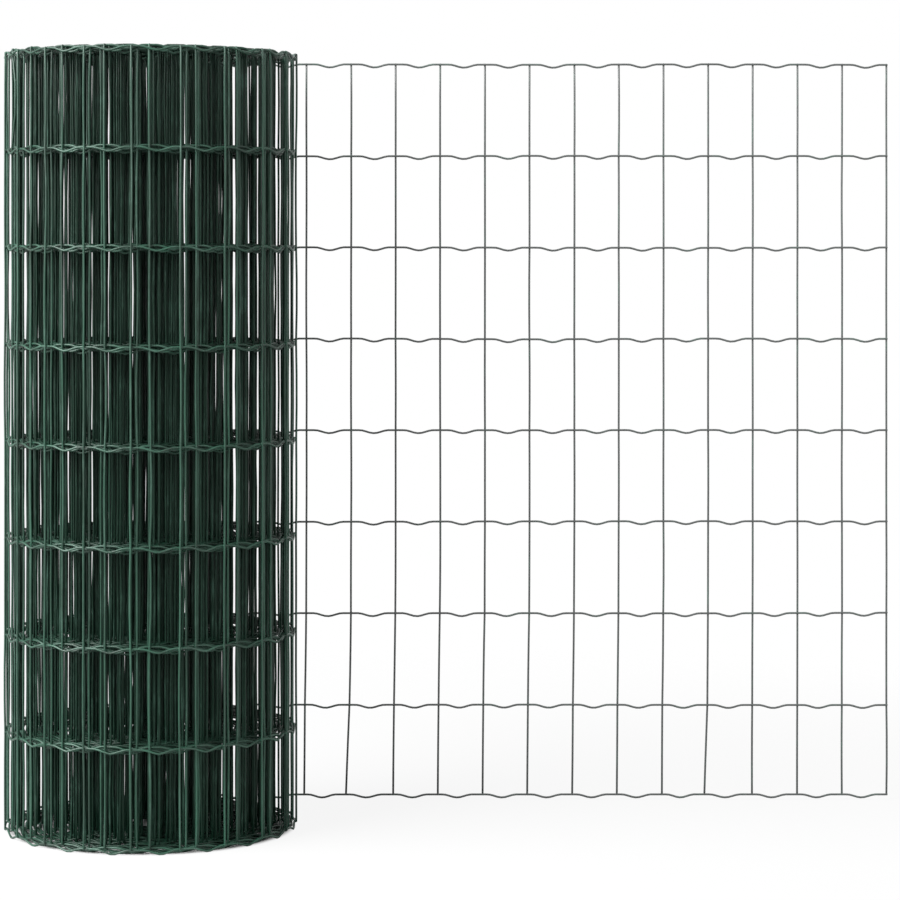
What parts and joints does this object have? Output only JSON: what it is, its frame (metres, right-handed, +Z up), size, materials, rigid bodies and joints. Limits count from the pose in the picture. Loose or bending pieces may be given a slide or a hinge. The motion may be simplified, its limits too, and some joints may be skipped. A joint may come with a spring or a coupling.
{
  "type": "roll of welded wire fencing",
  "caption": "Upright roll of green coated welded wire fencing with crimped line wires, its free end pulled out flat.",
  "frame": {"origin": "on the roll's axis, in the plane of its lower end, which is the floor it stands on", "axes": "+Z up along the roll's axis, +X along the free end away from the roll, +Y from the axis to the back of the roll, where the free end leaves it"},
  "size_m": [0.9415, 0.303, 0.8055],
  "materials": {
    "coated_wire": "semi-gloss moss green plastic coat over galvanised steel wire"
  },
  "bodies": {
    "root": {"wound_roll": "coated_wire", "free_end": "coated_wire"}
  },
  "joints": []
}
